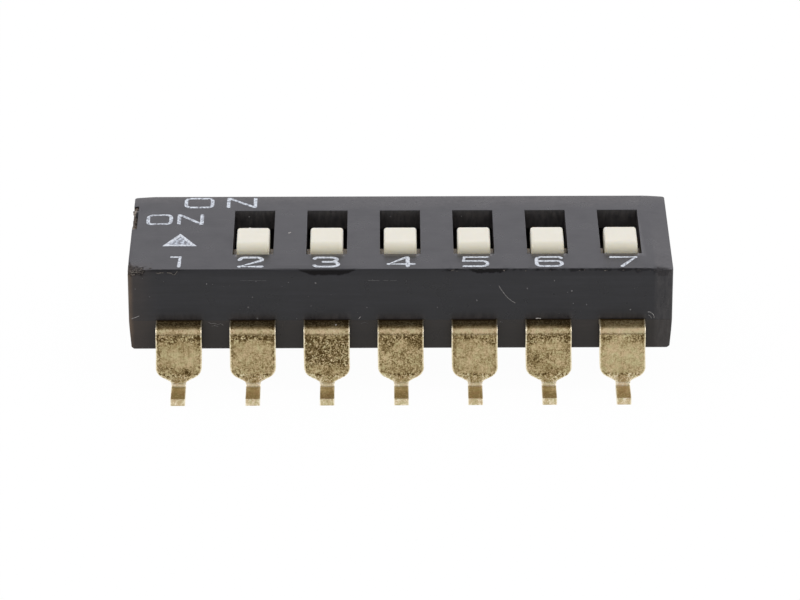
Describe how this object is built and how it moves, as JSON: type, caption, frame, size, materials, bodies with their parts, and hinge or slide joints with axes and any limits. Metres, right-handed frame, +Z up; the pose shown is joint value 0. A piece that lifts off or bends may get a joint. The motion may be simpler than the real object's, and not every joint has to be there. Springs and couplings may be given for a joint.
{
  "type": "dip switch",
  "caption": "Low black surface-mount switch block with a row of small cream slides in top windows and gold gull-wing terminals along both long sides.",
  "frame": {"origin": "on the board plane under the middle of the body", "axes": "+X along the row of positions with position 1 at -X, +Y towards the ON side, +Z up from the board"},
  "size_m": [0.0186, 0.0094, 0.0047],
  "materials": {
    "black_plastic": "fine satin moulded black",
    "black_base_plastic": "satin moulded black, a little warmer than the cover",
    "gold_plated_strip": "dull gold plating with stains",
    "cream_plastic": "smooth moulded cream",
    "contact_strip": "bright gold plating"
  },
  "bodies": {
    "housing": {"cover": "black_plastic", "base": "black_base_plastic", "terminal_front_1": "gold_plated_strip", "terminal_front_2": "gold_plated_strip", "terminal_front_3": "gold_plated_strip", "terminal_front_4": "gold_plated_strip", "terminal_front_5": "gold_plated_strip", "terminal_front_6": "gold_plated_strip", "terminal_front_7": "gold_plated_strip", "terminal_rear_1": "gold_plated_strip", "terminal_rear_2": "gold_plated_strip", "terminal_rear_3": "gold_plated_strip", "terminal_rear_4": "gold_plated_strip", "terminal_rear_5": "gold_plated_strip", "terminal_rear_6": "gold_plated_strip", "terminal_rear_7": "gold_plated_strip"},
    "actuator_2": {"slide_2": "cream_plastic", "contact_spring_2": "contact_strip"},
    "actuator_3": {"slide_3": "cream_plastic", "contact_spring_3": "contact_strip"},
    "actuator_4": {"slide_4": "cream_plastic", "contact_spring_4": "contact_strip"},
    "actuator_5": {"slide_5": "cream_plastic", "contact_spring_5": "contact_strip"},
    "actuator_6": {"slide_6": "cream_plastic", "contact_spring_6": "contact_strip"},
    "actuator_7": {"slide_7": "cream_plastic", "contact_spring_7": "contact_strip"}
  },
  "joints": [
    {"name": "switch_2", "type": "slide", "parent": "housing", "child": "actuator_2", "axis": [0, 1, 0], "range_m": [0, 0.00186]},
    {"name": "switch_3", "type": "slide", "parent": "housing", "child": "actuator_3", "axis": [0, 1, 0], "range_m": [0, 0.00186]},
    {"name": "switch_4", "type": "slide", "parent": "housing", "child": "actuator_4", "axis": [0, 1, 0], "range_m": [0, 0.00186]},
    {"name": "switch_5", "type": "slide", "parent": "housing", "child": "actuator_5", "axis": [0, 1, 0], "range_m": [0, 0.00186]},
    {"name": "switch_6", "type": "slide", "parent": "housing", "child": "actuator_6", "axis": [0, 1, 0], "range_m": [0, 0.00186]},
    {"name": "switch_7", "type": "slide", "parent": "housing", "child": "actuator_7", "axis": [0, 1, 0], "range_m": [0, 0.00186]}
  ]
}
